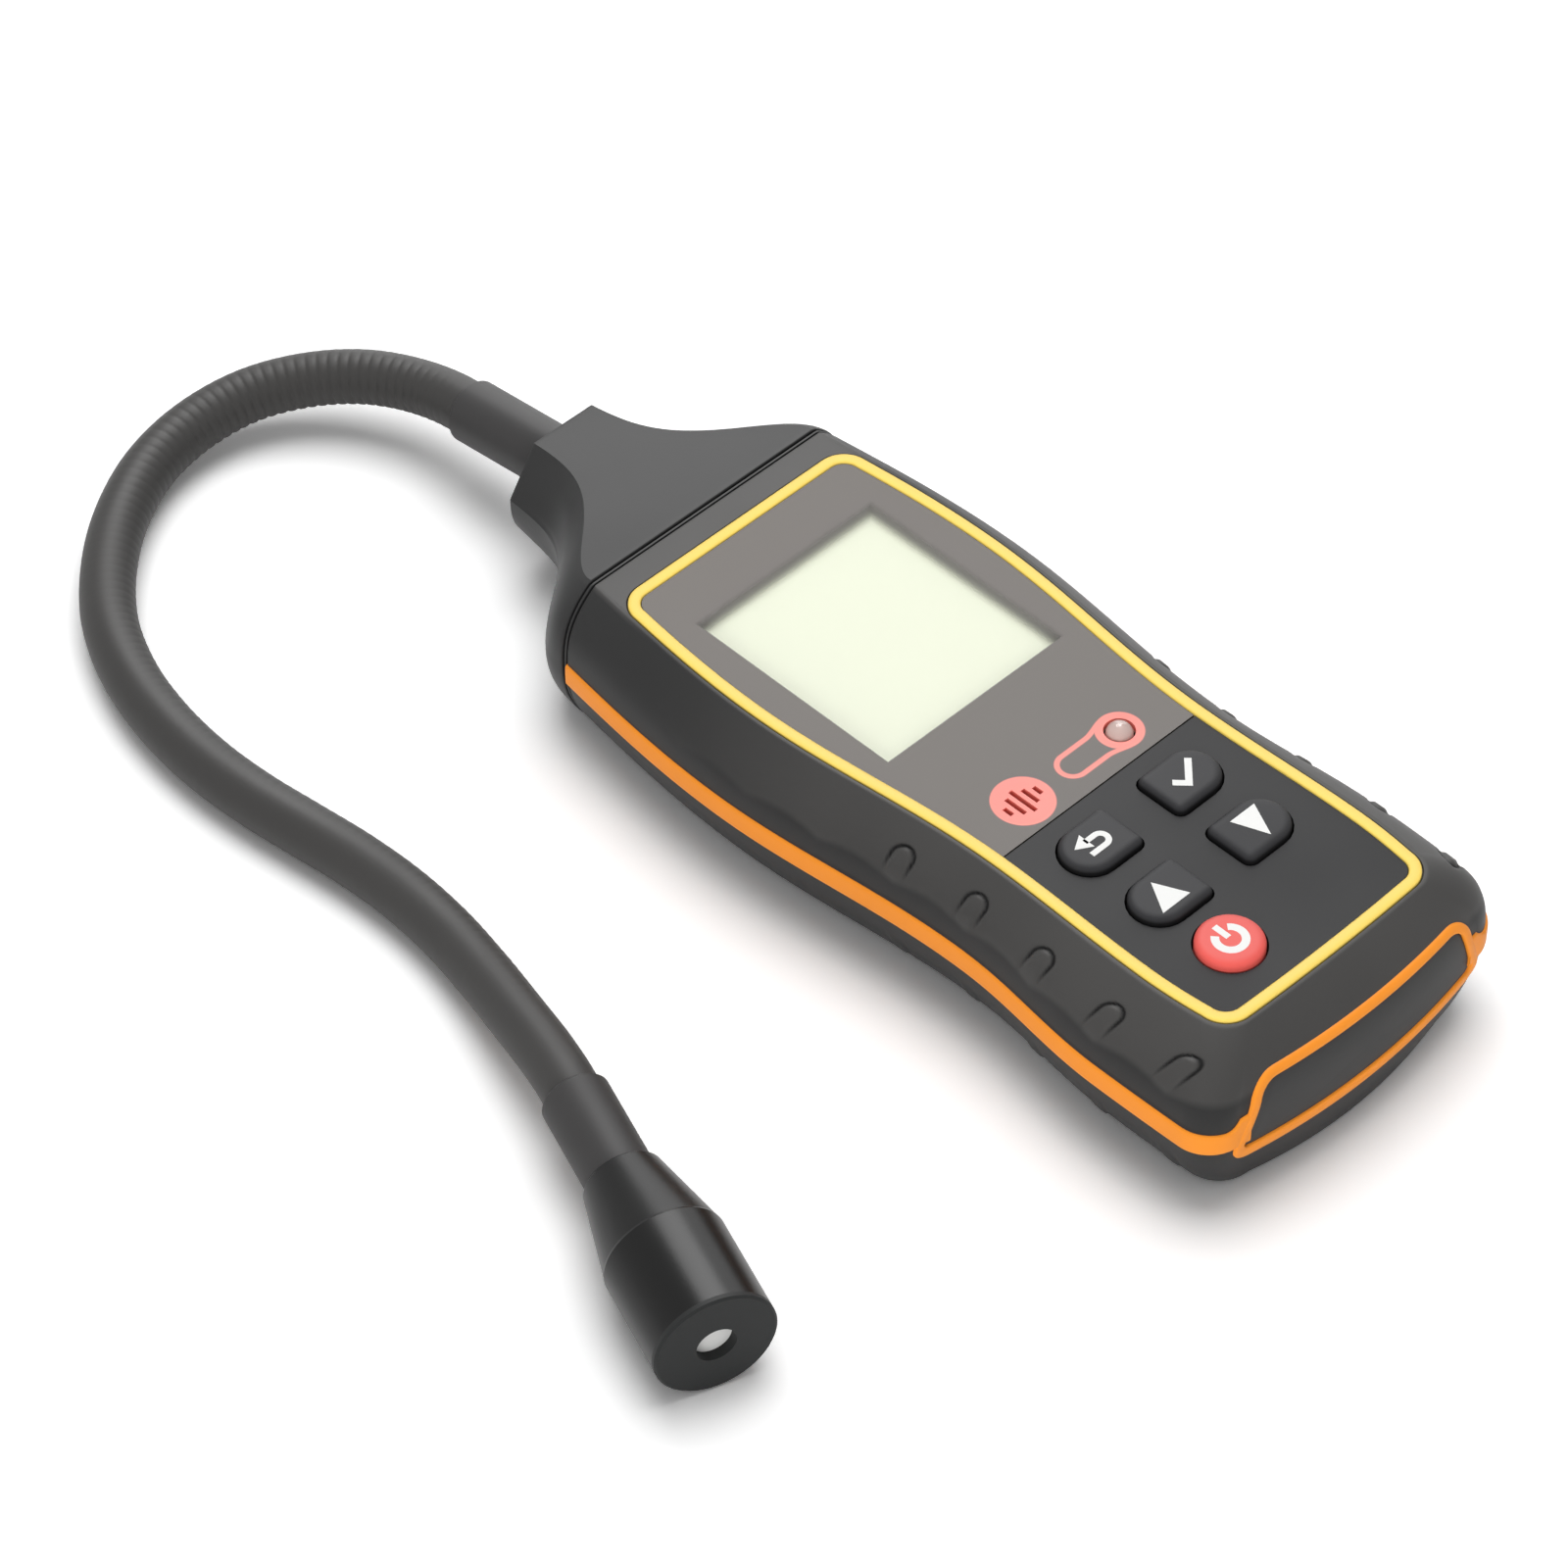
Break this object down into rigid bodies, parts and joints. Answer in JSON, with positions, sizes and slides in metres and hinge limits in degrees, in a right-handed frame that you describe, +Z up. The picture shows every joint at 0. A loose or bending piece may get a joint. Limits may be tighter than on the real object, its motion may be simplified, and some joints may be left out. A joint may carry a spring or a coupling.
{
  "type": "refrigerant leak detector",
  "caption": "Handheld refrigerant leak detector with a waisted case, display, soft keys, tapered neck and a bendable probe arm that carries a sensor head.",
  "frame": {"origin": "on the flat back that the detector lies on, under the middle of the case", "axes": "+Z up out of the face, +Y along the case towards the neck, +X to the right of the face"},
  "size_m": [0.1672, 0.267, 0.0356],
  "materials": {
    "case_plastic": "finely textured",
    "band_rubber": "soft satin",
    "ring_plastic": "satin",
    "lens_plastic": "smooth, printed on its back",
    "panel_plastic": "fine grain",
    "key_rubber": "soft matte",
    "power_rubber": "soft matte",
    "mat_silicone": "matte",
    "lcd": "pale reflective display",
    "frame_plastic": "plain",
    "board": "solder mask",
    "steel": "plain",
    "nickel": "nickel plated",
    "lamp": "clear, water white",
    "sounder_plastic": "smooth",
    "cell_wrap": "shrink wrap",
    "sheath": "satin sheath",
    "sleeve_plastic": "satin",
    "head_plastic": "glossy",
    "nose_plastic": "matte",
    "filter": "porous disc"
  },
  "bodies": {
    "case": {"front_case": "case_plastic", "rear_case": "case_plastic", "end_plate": "case_plastic", "probe_neck": "case_plastic", "side_band": "band_rubber", "face_ring": "ring_plastic", "display_lens": "lens_plastic", "key_panel": "panel_plastic", "key_mat": "mat_silicone", "lcd_glass": "lcd", "lcd_frame": "frame_plastic", "main_board": "board", "board_screws": "steel", "case_screws": "steel", "neck_nut": "steel", "sensor_cell": "steel", "battery_springs": "nickel", "battery_contacts": "nickel", "alarm_lamp": "lamp", "sounder": "sounder_plastic", "battery_1": "cell_wrap", "battery_2": "cell_wrap", "battery_3": "cell_wrap", "probe_arm": "sheath", "base_sleeve": "sleeve_plastic", "tip_sleeve": "sleeve_plastic", "sensor_housing": "head_plastic", "sensor_nose": "nose_plastic", "sensor_filter": "filter"},
    "key_back": {"key_back": "key_rubber"},
    "key_enter": {"key_enter": "key_rubber"},
    "key_up": {"key_up": "key_rubber"},
    "key_down": {"key_down": "key_rubber"},
    "key_power": {"key_power": "power_rubber"},
    "battery_door": {"battery_door": "case_plastic"}
  },
  "joints": [
    {"name": "key_back_press", "type": "slide", "parent": "case", "child": "key_back", "axis": [0, 0, -1], "range_m": [0, 0.0008], "stiffness_N_per_m": 1500, "deforming": ["key_mat"]},
    {"name": "key_enter_press", "type": "slide", "parent": "case", "child": "key_enter", "axis": [0, 0, -1], "range_m": [0, 0.0008], "stiffness_N_per_m": 1500, "deforming": ["key_mat"]},
    {"name": "key_up_press", "type": "slide", "parent": "case", "child": "key_up", "axis": [0, 0, -1], "range_m": [0, 0.0008], "stiffness_N_per_m": 1500, "deforming": ["key_mat"]},
    {"name": "key_down_press", "type": "slide", "parent": "case", "child": "key_down", "axis": [0, 0, -1], "range_m": [0, 0.0008], "stiffness_N_per_m": 1500, "deforming": ["key_mat"]},
    {"name": "key_power_press", "type": "slide", "parent": "case", "child": "key_power", "axis": [0, 0, -1], "range_m": [0, 0.0008], "stiffness_N_per_m": 1500, "deforming": ["key_mat"]},
    {"name": "battery_door_lift", "type": "slide", "parent": "case", "child": "battery_door", "axis": [0, 0, -1], "range_m": [0, 0.03]}
  ]
}
